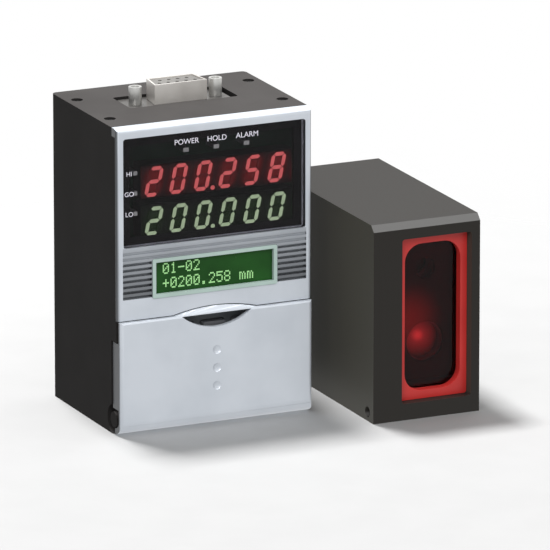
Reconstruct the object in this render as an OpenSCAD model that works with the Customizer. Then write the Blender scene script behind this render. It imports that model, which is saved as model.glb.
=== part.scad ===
// Laser displacement sensor in two units: a display controller and a separate sensor head.
// Millimetres, +Z up. The origin is the centre of the controller's base, and its front faces -Y.

/* [Controller case] */
// Width of the controller
ctrl_w = 60.6; // [60:0.2:72]
// Depth of the controller, from the bezel's front to the back
ctrl_d = 46.4; // [46:0.2:60]
// Height of the controller
ctrl_h = 90; // [90:0.5:110]
// Wall of the rear case
wall = 2.6; // [2.4:0.1:3]
// Thickness of the top cover
top_t = 2.6; // [2.4:0.1:4]
// Radius of the upright rear edges
case_edge_r = 1.5; // [0.5:0.1:3]
// Distance of the top screws from the side of the case
screw_side = 3.5; // [3.2:0.1:4]
// Depth of the front pair of top screws
screw_front_d = 12.6; // [12.4:0.1:14]
// Depth of the rear pair of top screws
screw_rear_d = 36; // [33:0.5:37]
// Radius of a top screw's head
screw_head_r = 1.5; // [1:0.1:1.7]

/* [Front bezel] */
// Thickness of the bezel
bezel_t = 3.4; // [3.3:0.1:3.8]
// Radius of the bezel's top edge
bezel_edge_r = 1.6; // [0.4:0.1:1.7]
// Radius of the bezel's upright edges
bezel_side_r = 1.1; // [0.4:0.1:1.1]
// Width of the display window
window_w = 56.5; // [52:0.5:57]
// Height of the display window
window_h = 32; // [29:0.5:33]
// Distance of the window from the top of the bezel
window_top = 3; // [2.5:0.1:4]
// Thickness of the display window
window_t = 1.6; // [1:0.1:1.7]
// Width of the character display's frame
lcd_w = 38.9; // [34:0.1:40]
// Height of the character display's frame
lcd_h = 11.7; // [10:0.1:12]
// Distance from the display window down to the character display
lcd_drop = 3.9; // [3.7:0.1:4.4]
// Width of the character display's frame bars
lcd_bar = 1.15; // [0.8:0.05:1.6]
// Distance between the ridges beside the character display
ridge_pitch = 1.62; // [1.5:0.02:2]
// Width of the grooves between the ridges
groove_w = 0.85; // [0.4:0.05:1.1]
// Depth of the grooves beside the character display
groove_deep = 1.3; // [0.5:0.1:1.6]
// Depth of the grooves that run on above the character display
groove_low = 0.45; // [0.2:0.05:0.8]

/* [Key cover] */
// Height of the key cover's straight top edge
cover_h = 33.6; // [33:0.1:34.5]
// How far the cover stands out of the bezel's front
cover_proud = 1.4; // [1:0.1:1.6]
// Thickness of the cover
cover_t = 1.6; // [1.4:0.1:1.8]
// Radius of the rolled bottom edge, about the hinge
hinge_r = 4.2; // [4:0.1:4.4]
// Radius of the hinge stubs
stub_r = 1; // [0.8:0.05:1.2]
// Width of the raised brow at the middle of the top edge
brow_w = 26; // [22:0.5:32]
// Rise of the brow above the straight top edge
brow_rise = 1.7; // [1:0.1:2]
// Lean of the brow and of the top edge, in degrees
brow_lean = 31; // [20:1:33]
// Width of the crescent finger notch
notch_w = 21.6; // [16:0.2:24]
// Drop of the crescent's lower edge
notch_drop = 4; // [2.5:0.1:5]
// Diameter of the three grip dimples
dimple_dia = 2.6; // [1.5:0.1:3.2]
// Distance between the dimples
dimple_pitch = 5.3; // [4:0.1:6]

/* [Keys] */
// Width of a function key
key_w = 7; // [5:0.2:7.6]
// Height of a key
key_h = 3.6; // [3:0.1:3.8]
// Distance between the function keys
key_pitch = 9.5; // [9.2:0.1:10]
// Press of a key
key_press = 0.5; // [0.2:0.05:0.6]
// Travel of the mode switch to either side
mode_travel = 3; // [1.5:0.1:3.2]

/* [Data connector] */
// Distance between the jack screws
jack_pitch = 25; // [24.8:0.1:25.4]
// Width of the connector's shell
dsub_w = 16.3; // [15.6:0.1:17]
// Depth of the connector's shell
dsub_d = 7.9; // [7.4:0.1:8.6]
// Height of the shell above the top cover
dsub_rise = 5.2; // [3:0.1:7]
// Depth at which the connector stands
dsub_at = 27.4; // [25:0.2:29]
// Radius of the jack screws' threaded holes
jack_hole_r = 1.2; // [1:0.05:1.4]

/* [Sensor head] */
// Gap between the controller and the head
head_gap = 10.6; // [4:0.2:40]
// How far the head stands in front of the controller
head_lead = 18.9; // [0:0.1:40]
// Width of the head
head_w = 33.5; // [32:0.5:40]
// Depth of the head
head_d = 68; // [66:0.5:80]
// Height of the head
head_h = 58.4; // [58:0.2:66]
// Wall of the head's casting
head_wall = 3; // [2.5:0.1:4]
// Chamfer along the casting's front top edge
head_chamfer = 1.8; // [0.5:0.1:2.2]
// Width of the window recess
eye_w = 21.9; // [19:0.1:22]
// Height of the window recess
eye_h = 48.7; // [44:0.1:48.8]
// Distance of the window recess from the head's right side
eye_right = 2.6; // [2.4:0.1:5]
// Depth of the recess in front of the red frame
eye_depth = 3; // [1.5:0.1:3.4]
// Height of the red frame's upper and lower bars
eye_bar = 2.6; // [1.5:0.1:3]
// Width of the red frame's upright bars
eye_side_bar = 2.2; // [1.5:0.1:3]
// Corner radius of the red frame's opening
eye_corner_r = 5.3; // [2:0.1:6]
// Radius of the head's mounting holes
mount_r = 1.6; // [1.4:0.05:1.7]
// Height of the lower mounting hole, and of the upper one below the top
mount_edge = 2.7; // [2.5:0.1:2.8]
// Distance of the mounting holes from the front and the back
mount_inset = 3.9; // [3:0.1:4]
// Radius of the receiver lens
lens_r = 5.5; // [4:0.1:5.6]
// Radius of the collimator lens
collimator_r = 3.5; // [2.5:0.1:4]

/* [Hidden] */
$fn = 64;

// Clearance between pieces that move, and between pieces that only drop in
gap = 0.3;
fit = 0.1;
// Radial clearance of the hinge stubs
stub_clear = 0.05;
// A cut's reach past the face that it opens
past = 1;
board_t = 1.6;

front_y = -ctrl_d / 2;
half_w = ctrl_w / 2;
inner_x = half_w - wall;
case_top = ctrl_h - top_t;

// Hinge line of the key cover, as a depth and a height
hinge_d = hinge_r - cover_proud;
hinge_z = hinge_r + 0.2;
roll_r = hinge_r - cover_t;
stub_cap = 0.9;
boss_r = roll_r - gap;
relief_r = hinge_r + gap;
trough_t = 1.5;
trough_top = hinge_z + relief_r + trough_t;
cover_w = ctrl_w - 0.7;
cover_back = cover_t - cover_proud;
cheek_d = cover_back + 0.5;
seam = 0.25;
seam_z = cover_h + seam;
skirt_t = 1.2;
skirt_d = 4.1;
skirt_z = [hinge_z + 3.2, cover_h - 6.5];
pocket_x = cover_w / 2 - skirt_t - gap;
lug_t = 1.4;
brow_r = (pow(brow_w / 2, 2) + pow(brow_rise, 2)) / (2 * brow_rise);
lean_drop = 0.5;
notch_r = (pow(notch_w / 2, 2) + pow(notch_drop, 2)) / (2 * notch_drop);
notch_z = cover_h - 0.2;
dimple_mid = 17.3;
dimple_z = [for (i = [-1:1]) dimple_mid + i * dimple_pitch];
dimple_r = 2;

// Front layout, as heights
window_z = ctrl_h - window_top - window_h / 2;
window_ledge = 1.5;
window_d = 0.6;
lcd_z = window_z - window_h / 2 - lcd_drop - lcd_h / 2;
ridge_count = 7;
ridge_rows_above = 2;
digit_d = window_d + window_t + 0.4;
display_board_d = 8;
digit_x = 1.5;
lamp_column_w = 3.35;
digit_module_w = window_w - 2 * (window_ledge + lamp_column_w);
digit_module_h = 10;
digit_row_gap = 1.5;
red_z = window_z + 2.2;
green_z = red_z - digit_module_h - digit_row_gap;
lamp_size = 1.2;
lamp_row_pitch = 9.4;
lamp_row_rise = 3.1;
lamp_column_x = digit_x - (digit_module_w + lamp_column_w) / 2;
lamp_column_pitch = 5.9;
lip_t = 0.9;
lip_d = 1.2;
post_x = inner_x - 2.3;
post_r = 1.8;

// Keys: name, place across and up, width
panel_t = 1.6;
panel_d = bezel_t;
key_board_d = 9;
key_front_d = 1.4;
flange_t = 0.8;
flange_rim = 0.5;
key_row_z = 28.4;
key_row_x = -9;
cursor_x = 14.2;
cursor_z = 17.8;
cursor_dx = 7.2;
cursor_dz = 4.7;
mode_x = -20;
knob_size = [3.4, 2.8];
slot_size = [knob_size[0] + 2 * mode_travel + 2 * gap, knob_size[1] + 2 * gap];

// Boards standing in slots of the side walls
cavity_back = ctrl_d - wall;
slot_depth = 0.8;
main_board_d = 18;
power_board_d = 36;
board_foot = wall + 1;

// Connectors
flange_w = jack_pitch + 6.2;
flange_d = 12.6;
flange_plate = 0.8;
flange_seat = ctrl_h - 1.6;
dsub_top = ctrl_h + dsub_rise;
shell_t = 0.5;
jack_r = 1.9;
socket_size = [22, 6];
socket_at = 28;

// Sensor head, measured from its own front left lower corner
head_x = half_w + head_gap;
head_y = front_y - head_lead;
eye_x = head_w - eye_right - eye_w / 2;
eye_z = head_h / 2;
frame_t = 2.5;
glass_t = 1.5;
glass_d = eye_depth + frame_t;
ledge = 1.2;
room_front = glass_d + glass_t + ledge;
room_rear = head_d - 10;
room_low = 4.2;
room_high = head_h - 4.2;
lid_t = 1.6;
lid_rim = 2;
lid_screw_r = 0.9;
lid_boss_r = 2.6;
mask_t = 0.8;
base_t = 2;
emitter_z = 42;
receiver_z = 20.3;
barrel_wall = 1.4;
lens_d = room_front + mask_t + 0.6;
lens_t = 3.2;
emitter_d = room_front + 5;
emitter_len = 16;
receiver_len = 15;
diode_board_w = 10;
board_edge = 5.4;
wire_space = 5.4;
board_pitch = 8;
driver_d = room_rear - wire_space - board_t;
imager_d = driver_d - board_pitch;
imager_t = 1.4;
imager_size = [8, 18];
gland_z = 12;
gland_r = 4;

// Upright rounded outline about the origin
module rounded_rect(w, h, r) {
    square([w - 2 * r, h], center = true);
    square([w, h - 2 * r], center = true);
    for (x = [-1, 1], y = [-1, 1])
        translate([x * (w / 2 - r), y * (h / 2 - r)])
            circle(r);
}

// Front-view outline made solid between two depths behind the bezel's front
module from_front(d0, d1) {
    translate([0, front_y + d1, 0])
        rotate([90, 0, 0])
            linear_extrude(d1 - d0)
                children();
}

// Side-view outline, depth and height, made solid between two places across
module across(x0, x1) {
    translate([x0, front_y, 0])
        rotate([90, 0, 90])
            linear_extrude(x1 - x0)
                children();
}

// Plan outline, across and depth, made solid between two heights
module upright(z0, z1) {
    translate([0, front_y, z0])
        linear_extrude(z1 - z0)
            children();
}

module both_sides() {
    children();
    mirror([1, 0, 0])
        children();
}

// Plan outline of the case with rounded rear corners
module case_plan(d0) {
    translate([-half_w, d0])
        square([ctrl_w, ctrl_d - case_edge_r - d0]);
    translate([case_edge_r - half_w, d0])
        square([ctrl_w - 2 * case_edge_r, ctrl_d - d0]);
    for (x = [-1, 1])
        translate([x * (half_w - case_edge_r), ctrl_d - case_edge_r])
            circle(case_edge_r);
}

module at_hinge() {
    translate([hinge_d, hinge_z])
        children();
}

module top_screw_places() {
    for (x = [-1, 1], d = [screw_front_d, screw_rear_d])
        translate([x * (half_w - screw_side), front_y + d, 0])
            children();
}

// Room that the rolled edge of the cover needs in front of and below the hinge
module roll_room() {
    at_hinge() {
        circle(relief_r);
        translate([-relief_r - past, -hinge_z - past])
            square([relief_r + past, hinge_z + past]);
    }
}

module lower_half() {
    translate([-2 * relief_r, -past])
        square([5 * relief_r, hinge_z + past]);
}

module hinge_cuts() {
    across(-inner_x, inner_x)
        roll_room();
    both_sides() {
        across(inner_x, half_w + past)
            difference() {
                intersection() {
                    roll_room();
                    lower_half();
                }
                at_hinge()
                    circle(boss_r);
            }
        across(pocket_x, half_w + past)
            difference() {
                union() {
                    roll_room();
                    translate([-past, hinge_z])
                        square([skirt_d + gap + past, skirt_z[1] + gap - hinge_z]);
                }
                at_hinge()
                    circle(boss_r);
            }
        across(inner_x - past, half_w - stub_cap)
            at_hinge()
                circle(stub_r + stub_clear);
    }
}

// Space inside the case, with the hinge trough left standing across its lower front
module case_room() {
    difference() {
        from_front(-past, cavity_back)
            translate([-inner_x, wall])
                square([2 * inner_x, ctrl_h]);
        across(-inner_x - past, inner_x + past)
            at_hinge()
                circle(relief_r + trough_t);
    }
}

module board_slots() {
    for (d = [main_board_d, power_board_d])
        from_front(d - fit, d + board_t + fit)
            translate([-inner_x - slot_depth - fit, board_foot - fit])
                square([2 * (inner_x + slot_depth + fit), ctrl_h]);
}

module rear_case() {
    color([0.13, 0.13, 0.12])
        difference() {
            union() {
                difference() {
                    intersection() {
                        across(-half_w, half_w) {
                            translate([cheek_d, 0])
                                square([ctrl_d - cheek_d, seam_z - gap]);
                            translate([bezel_t, 0])
                                square([ctrl_d - bezel_t, case_top]);
                        }
                        upright(0, case_top)
                            case_plan(0);
                    }
                    case_room();
                }
                both_sides()
                    across(half_w - lip_t, half_w)
                        translate([lip_d, seam_z - gap - past])
                            square([bezel_t - lip_d + past, case_top - seam_z + gap + past]);
                both_sides()
                    from_front(panel_d + panel_t, key_board_d)
                        translate([inner_x - 1.5, trough_top])
                            square([1.5 + past, cover_h - trough_top - 1]);
                intersection() {
                    top_screw_places()
                        translate([0, 0, case_top - 10])
                            cylinder(r = 2.4, h = 10);
                    upright(0, case_top)
                        case_plan(0);
                }
            }
            hinge_cuts();
            board_slots();
            top_screw_places()
                translate([0, 0, case_top - 8])
                    cylinder(r = 0.8, h = 10);
            upright(-past, wall + past)
                translate([0, socket_at])
                    square([socket_size[0] + 2 * fit, socket_size[1] + 2 * fit], center = true);
        }
}

module top_cover() {
    color([0.2, 0.2, 0.2])
        difference() {
            upright(case_top, ctrl_h)
                case_plan(bezel_t);
            top_screw_places() {
                translate([0, 0, case_top - past])
                    cylinder(r = 1.1, h = top_t + 2 * past);
                translate([0, 0, ctrl_h - 1.5])
                    cylinder(r = screw_head_r + 0.2, h = 1.5 + past);
            }
            upright(flange_seat, ctrl_h + past)
                translate([0, dsub_at])
                    rounded_rect(flange_w + 2.4, flange_d + 0.4, 0.8);
            upright(case_top - past, ctrl_h)
                translate([0, dsub_at])
                    square([dsub_w + 0.6, dsub_d + 0.6], center = true);
            for (x = [-1, 1])
                translate([x * jack_pitch / 2, front_y + dsub_at, case_top - past])
                    cylinder(r = 1.5, h = top_t + 2 * past);
        }
}

module case_screws() {
    color([0.08, 0.08, 0.08])
        top_screw_places()
            difference() {
                union() {
                    translate([0, 0, ctrl_h - 1.5])
                        cylinder(r = screw_head_r, h = 0.9);
                    translate([0, 0, case_top - 5])
                        cylinder(r = 0.75, h = 5 + top_t - 1.5);
                }
                for (a = [0, 90])
                    rotate([0, 0, a])
                        translate([-screw_head_r * 0.7, -0.2, ctrl_h - 1])
                            cube([screw_head_r * 1.4, 0.4, 1]);
            }
}

// Slice of a big disc whose top stands up as a low arch over a level edge
module arch(width, radius, rise, z) {
    intersection() {
        translate([0, z + rise - radius])
            circle(radius, $fn = 128);
        translate([-width / 2, z - past])
            square([width, rise + 2 * past]);
    }
}

module bezel_blank() {
    intersection() {
        from_front(0, bezel_t)
            translate([-half_w, seam_z])
                square([ctrl_w, ctrl_h - seam_z]);
        upright(0, ctrl_h) {
            translate([-half_w, bezel_side_r])
                square([ctrl_w, bezel_t - bezel_side_r]);
            translate([0, bezel_t / 2])
                square([ctrl_w - 2 * bezel_side_r, bezel_t], center = true);
            for (x = [-1, 1])
                translate([x * (half_w - bezel_side_r), bezel_side_r])
                    circle(bezel_side_r);
        }
        across(-half_w, half_w) {
            square([bezel_t, ctrl_h - bezel_edge_r]);
            translate([bezel_edge_r, 0])
                square([bezel_t - bezel_edge_r, ctrl_h]);
            translate([bezel_edge_r, ctrl_h - bezel_edge_r])
                circle(bezel_edge_r);
        }
    }
}

// Grooves that leave the ridges beside the character display and, shallower, above it
module ridge_grooves() {
    ridge_from = lcd_w / 2 + 0.1;
    ridge_to = half_w - 1.8;
    top_row = lcd_z + (ridge_count - 1) / 2 * ridge_pitch;
    both_sides()
        from_front(-past, groove_deep)
            for (i = [0:ridge_count - 1])
                translate([ridge_from, top_row - i * ridge_pitch - groove_w / 2])
                    square([ridge_to - ridge_from, groove_w]);
    from_front(-past, groove_low)
        for (i = [1:ridge_rows_above])
            translate([0, top_row + i * ridge_pitch])
                square([2 * ridge_to, groove_w], center = true);
}

module front_bezel() {
    color([0.75, 0.76, 0.79])
        difference() {
            union() {
                bezel_blank();
                for (x = [-post_x, post_x], z = [window_z - window_h / 2 - 2, lcd_z - lcd_h / 2 - 2])
                    translate([x, front_y + bezel_t - past, z])
                        rotate([-90, 0, 0])
                            cylinder(r = post_r, h = display_board_d - bezel_t + past);
            }
            from_front(-past, window_d + window_t)
                translate([0, window_z])
                    rounded_rect(window_w, window_h, 0.8);
            from_front(-past, bezel_t + past)
                translate([0, window_z])
                    square([window_w - 2 * window_ledge, window_h - 2 * window_ledge], center = true);
            from_front(-past, bezel_t + past)
                translate([0, lcd_z])
                    rounded_rect(lcd_w, lcd_h, 0.6);
            ridge_grooves();
            both_sides()
                across(half_w - lip_t - fit, half_w + past)
                    translate([lip_d - fit, 0])
                        square([bezel_t + past, case_top + fit]);
            from_front(-past, bezel_t + past)
                arch(brow_w + 2 * past, brow_r + seam, brow_rise + seam, cover_h);
        }
}

module display_window() {
    color([0.1, 0.09, 0.11])
        from_front(window_d, window_d + window_t)
            translate([0, window_z])
                rounded_rect(window_w - 2 * fit, window_h - 2 * fit, 0.7);
}

module display_board() {
    color([0.1, 0.3, 0.18])
        from_front(display_board_d, display_board_d + board_t)
            translate([-inner_x + fit, seam_z + 2])
                square([2 * (inner_x - fit), case_top - seam_z - 3.2]);
}

module digit_module(z) {
    from_front(digit_d, display_board_d)
        translate([digit_x, z])
            square([digit_module_w, digit_module_h], center = true);
}

module red_digit_module() {
    color([0.15, 0.04, 0.04])
        digit_module(red_z);
}

module green_digit_module() {
    color([0.06, 0.12, 0.05])
        digit_module(green_z);
}

// Indicator lamps: a row over the digits and a column beside them
module indicator_leds() {
    color([0.8, 0.85, 0.8])
        from_front(digit_d, display_board_d) {
            for (i = [-1:1])
                translate([digit_x + i * lamp_row_pitch, red_z + digit_module_h / 2 + lamp_row_rise])
                    square([1.4 * lamp_size, lamp_size], center = true);
            for (i = [-1:1])
                translate([lamp_column_x, red_z - lamp_column_pitch / 2 + i * lamp_column_pitch])
                    square(lamp_size, center = true);
        }
}

module lcd_frame() {
    color([0.78, 0.84, 0.8])
        from_front(-0.2, bezel_t - 0.8)
            translate([0, lcd_z])
                difference() {
                    rounded_rect(lcd_w - 2 * fit, lcd_h - 2 * fit, 0.5);
                    square([lcd_w - 2 * lcd_bar, lcd_h - 2 * lcd_bar], center = true);
                }
}

module lcd_glass() {
    color([0.15, 0.4, 0.15])
        from_front(0.9, 2)
            translate([0, lcd_z])
                square([lcd_w - 2 * lcd_bar - 2 * fit, lcd_h - 2 * lcd_bar - 2 * fit], center = true);
}

// Backlight box behind the glass, with a wider foot on the board
module lcd_module() {
    color([0.85, 0.86, 0.82]) {
        from_front(2, display_board_d)
            translate([0, lcd_z])
                square([lcd_w - 2 * lcd_bar - 2 * fit, lcd_h - 2 * lcd_bar - 2 * fit], center = true);
        from_front(bezel_t + 0.4, display_board_d)
            translate([0, lcd_z])
                square([lcd_w + 2, lcd_h + 1], center = true);
    }
}

module key_hole(x, z, w, h) {
    translate([x, z])
        rounded_rect(w + 2 * gap, h + 2 * gap, 0.8);
}

// Places of the cursor keys about the middle of their cross
function cursor_place(dx, dz) = [cursor_x + dx * cursor_dx, cursor_z + dz * cursor_dz];
function row_place(i) = [key_row_x + i * key_pitch, key_row_z];
set_place = [cursor_x - 3 * cursor_dx, cursor_z];
escape_place = [cursor_x - 4.3 * cursor_dx, cursor_z];
cursor_w = key_w - 1;
wide_keys = [for (i = [0:3]) row_place(i), set_place, escape_place];
cursor_keys = [for (s = [[0, 1], [0, -1], [-1, 0], [1, 0]]) cursor_place(s[0], s[1])];

module key_panel() {
    color([0.3, 0.31, 0.33])
        from_front(panel_d, panel_d + panel_t)
            difference() {
                translate([-inner_x + fit, trough_top + fit])
                    square([2 * (inner_x - fit), cover_h - trough_top - 0.4]);
                for (p = wide_keys)
                    key_hole(p[0], p[1], key_w, key_h);
                for (p = cursor_keys)
                    key_hole(p[0], p[1], cursor_w, key_h);
                translate([mode_x, key_row_z])
                    rounded_rect(slot_size[0], slot_size[1], 0.6);
            }
}

// Key cap with a hidden flange behind the panel and a stem towards its switch
module key(place, w) {
    flange_d0 = panel_d + panel_t + gap;
    flange_d1 = flange_d0 + flange_t;
    translate([place[0], 0, place[1]]) {
        from_front(key_front_d, flange_d1)
            rounded_rect(w, key_h, 0.6);
        from_front(flange_d0, flange_d1)
            square([w + 2 * (gap + flange_rim), key_h + 2 * gap + flange_rim], center = true);
        from_front(flange_d1, flange_d1 + 0.7)
            circle(1);
    }
}

module key_f1() { color([0.55, 0.56, 0.58]) key(row_place(0), key_w); }
module key_f2() { color([0.55, 0.56, 0.58]) key(row_place(1), key_w); }
module key_f3() { color([0.55, 0.56, 0.58]) key(row_place(2), key_w); }
module key_f4() { color([0.55, 0.56, 0.58]) key(row_place(3), key_w); }
module key_up() { color([0.5, 0.51, 0.53]) key(cursor_keys[0], cursor_w); }
module key_down() { color([0.5, 0.51, 0.53]) key(cursor_keys[1], cursor_w); }
module key_left() { color([0.5, 0.51, 0.53]) key(cursor_keys[2], cursor_w); }
module key_right() { color([0.5, 0.51, 0.53]) key(cursor_keys[3], cursor_w); }
module key_set() { color([0.45, 0.5, 0.58]) key(set_place, key_w); }
module key_escape() { color([0.45, 0.5, 0.58]) key(escape_place, key_w); }

module key_board() {
    color([0.1, 0.3, 0.18])
        from_front(key_board_d, key_board_d + board_t)
            translate([-inner_x + fit, trough_top + fit])
                square([2 * (inner_x - fit), cover_h - trough_top - 0.4]);
}

module tact_switches() {
    stem_end = panel_d + panel_t + gap + flange_t + 0.7;
    color([0.2, 0.2, 0.2])
        for (p = concat(wide_keys, cursor_keys))
            from_front(stem_end + key_press + gap / 2, key_board_d)
                translate(p)
                    square([4, 3], center = true);
}

module mode_switch() {
    color([0.15, 0.15, 0.15])
        from_front(6.6, key_board_d)
            translate([mode_x, key_row_z])
                square([slot_size[0] + 1.5, 5], center = true);
}

module mode_switch_knob() {
    color([0.85, 0.85, 0.86])
        difference() {
            from_front(key_front_d + 0.2, 6.4)
                translate([mode_x, key_row_z])
                    square(knob_size, center = true);
            for (x = [-0.9, 0, 0.9])
                from_front(key_front_d, key_front_d + 0.5)
                    translate([mode_x + x, key_row_z])
                        square([0.35, knob_size[1] + past], center = true);
        }
}

// Side view of the cover: an upright plate, leaning back at its top and rolled under at the hinge
module cover_section() {
    lean_z = cover_h - lean_drop;
    polygon([[-cover_proud, hinge_z], [cover_back, hinge_z], [cover_back, lean_z + cover_t / tan(brow_lean)],
        [-cover_proud, lean_z]]);
    intersection() {
        at_hinge()
            difference() {
                circle(hinge_r);
                circle(roll_r);
            }
        translate([-cover_proud, 0])
            square([hinge_r, hinge_z]);
    }
}

// Front view of the cover, with its brow and the crescent finger notch under it
module cover_front() {
    difference() {
        union() {
            translate([-cover_w / 2, 0])
                square([cover_w, cover_h]);
            arch(brow_w + 2 * past, brow_r, brow_rise, cover_h);
        }
        intersection() {
            translate([0, notch_z - notch_drop + notch_r])
                circle(notch_r);
            translate([-notch_w / 2, notch_z - notch_drop])
                square([notch_w, notch_drop]);
        }
    }
}

module key_cover() {
    edge_r = cover_t * 0.75;
    color([0.77, 0.79, 0.83])
        difference() {
            union() {
                intersection() {
                    across(-cover_w / 2, cover_w / 2)
                        cover_section();
                    from_front(-cover_proud, hinge_r + hinge_d)
                        cover_front();
                    upright(0, ctrl_h) {
                        translate([-cover_w / 2, edge_r - cover_proud])
                            square([cover_w, 2 * hinge_r]);
                        translate([edge_r - cover_w / 2, -cover_proud])
                            square([cover_w - 2 * edge_r, 2 * hinge_r]);
                        for (x = [-1, 1])
                            translate([x * (cover_w / 2 - edge_r), edge_r - cover_proud])
                                circle(edge_r);
                    }
                }
                both_sides() {
                    across(cover_w / 2 - skirt_t, cover_w / 2)
                        translate([cover_back - 0.2, skirt_z[0]])
                            square([skirt_d - cover_back + 0.2, skirt_z[1] - skirt_z[0]]);
                    across(inner_x - gap - lug_t, inner_x - gap)
                        at_hinge()
                            circle(roll_r + 0.2);
                    across(inner_x - gap - lug_t, half_w - stub_cap - gap)
                        at_hinge()
                            circle(stub_r);
                }
            }
            for (z = dimple_z)
                translate([0, front_y - cover_proud - sqrt(pow(dimple_r, 2) - pow(dimple_dia / 2, 2)), z])
                    sphere(dimple_r);
        }
}

module standing_board(d) {
    from_front(d, d + board_t)
        translate([-inner_x - slot_depth, board_foot])
            square([2 * (inner_x + slot_depth), case_top - board_foot - 12]);
}

module main_board() {
    color([0.08, 0.32, 0.16])
        standing_board(main_board_d);
}

module power_board() {
    color([0.1, 0.28, 0.14])
        standing_board(power_board_d);
}

// Trapezoid of the connector's shell, its long side towards the front
module dsub_outline(w, d) {
    lean = 0.9;
    polygon([[-w / 2, -d / 2], [w / 2, -d / 2], [w / 2 - lean, d / 2], [lean - w / 2, d / 2]]);
}

module dsub_shell() {
    color([0.75, 0.72, 0.66])
        difference() {
            union() {
                upright(flange_seat, flange_seat + flange_plate)
                    translate([0, dsub_at])
                        rounded_rect(flange_w, flange_d, 1);
                upright(flange_seat, dsub_top)
                    translate([0, dsub_at])
                        dsub_outline(dsub_w, dsub_d);
            }
            upright(flange_seat - past, dsub_top + past)
                translate([0, dsub_at])
                    dsub_outline(dsub_w - 2 * shell_t, dsub_d - 2 * shell_t);
            for (x = [-1, 1])
                translate([x * jack_pitch / 2, front_y + dsub_at, flange_seat - past])
                    cylinder(r = 1.5, h = flange_plate + 2 * past);
        }
}

// Insulator with nine contact sockets in two rows
module dsub_insert() {
    contact_pitch = 2.77;
    row_gap = 2.84;
    color([0.1, 0.1, 0.1])
        difference() {
            upright(case_top - 4, dsub_top - 0.3)
                translate([0, dsub_at])
                    dsub_outline(dsub_w - 2 * shell_t, dsub_d - 2 * shell_t);
            for (row = [0, 1], i = [0:4 - row])
                translate([(i - (4 - row) / 2) * contact_pitch, front_y + dsub_at + (row - 0.5) * row_gap,
                        dsub_top - 4.5])
                    cylinder(r = 0.55, h = 4.5, $fn = 16);
        }
}

module jack_screws() {
    base = flange_seat + flange_plate;
    top = dsub_top - 0.8;
    tail = 3;
    hole_deep = 4.4;
    color([0.82, 0.82, 0.8])
        for (x = [-1, 1])
            translate([x * jack_pitch / 2, front_y + dsub_at, 0])
                difference() {
                    union() {
                        translate([0, 0, base])
                            cylinder(r = jack_r, h = top - base);
                        translate([0, 0, case_top - tail])
                            cylinder(r = 1.4, h = base - case_top + tail);
                    }
                    translate([0, 0, top - hole_deep])
                        cylinder(r = jack_hole_r, h = hole_deep + past);
                }
}

// Multi-pole socket for the head, flush in the base
module head_connector() {
    pole_pitch = 2.4;
    socket_h = 8;
    collar_h = 2;
    color([0.1, 0.1, 0.1])
        difference() {
            union() {
                upright(0.3, wall + socket_h)
                    translate([0, socket_at])
                        square(socket_size, center = true);
                upright(wall, wall + collar_h)
                    translate([0, socket_at])
                        square([socket_size[0] + 4, socket_size[1] + 3], center = true);
            }
            for (i = [-4:4], row = [-1, 1])
                translate([i * pole_pitch, front_y + socket_at + row * 1.25, -past])
                    cylinder(r = 0.5, h = 5, $fn = 16);
        }
}

// Front-view outline of the head, from its left side and base, made solid between two depths
module head_front(d0, d1) {
    translate([head_x, head_y + d1, 0])
        rotate([90, 0, 0])
            linear_extrude(d1 - d0)
                children();
}

// Side-view outline of the head, depth and height, made solid between two places across
module head_side(x0, x1) {
    translate([head_x + x0, head_y, 0])
        rotate([90, 0, 90])
            linear_extrude(x1 - x0)
                children();
}

// Round pieces whose axis runs back from a place on the head's front
module head_axis(x, z, d) {
    translate([head_x + x, head_y + d, z])
        rotate([-90, 0, 0])
            children();
}

module at_eye() {
    translate([eye_x, eye_z])
        children();
}

module room_outline(grow) {
    translate([(room_front + room_rear) / 2, (room_low + room_high) / 2])
        rounded_rect(room_rear - room_front + 2 * grow, room_high - room_low + 2 * grow, 1.5);
}

module lid_screw_places() {
    inset = 1.6;
    for (d = [room_front + inset, room_rear - inset], z = [room_low + inset, room_high - inset])
        translate([d, z])
            children();
}

module mount_places() {
    translate([mount_inset, mount_edge])
        children();
    translate([head_d - mount_inset, head_h - mount_edge])
        children();
}

module head_case() {
    color([0.2, 0.2, 0.18])
        difference() {
            union() {
                difference() {
                    head_side(0, head_w)
                        polygon([[0, 0], [head_d, 0], [head_d, head_h], [head_chamfer, head_h],
                            [0, head_h - head_chamfer]]);
                    head_front(-past, glass_d)
                        at_eye()
                            rounded_rect(eye_w, eye_h, 0.8);
                    head_front(-past, glass_d + glass_t)
                        at_eye()
                            square([eye_w - 2, eye_h - 2], center = true);
                    head_front(-past, room_front + past)
                        at_eye()
                            square([eye_w - 2 * eye_side_bar, eye_h - 2 * eye_bar], center = true);
                    head_side(head_wall, head_w + past)
                        room_outline(0);
                }
                head_side(head_wall - past, head_w - lid_t)
                    lid_screw_places()
                        circle(lid_boss_r);
            }
            head_side(head_w - lid_t, head_w + past)
                room_outline(lid_rim + fit);
            head_side(head_w - lid_t - 8, head_w)
                lid_screw_places()
                    circle(lid_screw_r - 0.1);
            head_side(-past, head_w + past)
                mount_places()
                    circle(mount_r);
            head_axis(head_w / 2, gland_z, room_rear - past)
                cylinder(r = gland_r, h = head_d);
        }
}

module head_side_cover() {
    color([0.18, 0.18, 0.17])
        difference() {
            head_side(head_w - lid_t, head_w)
                room_outline(lid_rim);
            head_side(head_w - lid_t - past, head_w + past)
                lid_screw_places()
                    circle(lid_screw_r + 0.15);
            head_side(head_w - 0.9, head_w + past)
                lid_screw_places()
                    circle(1.8);
        }
}

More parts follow.
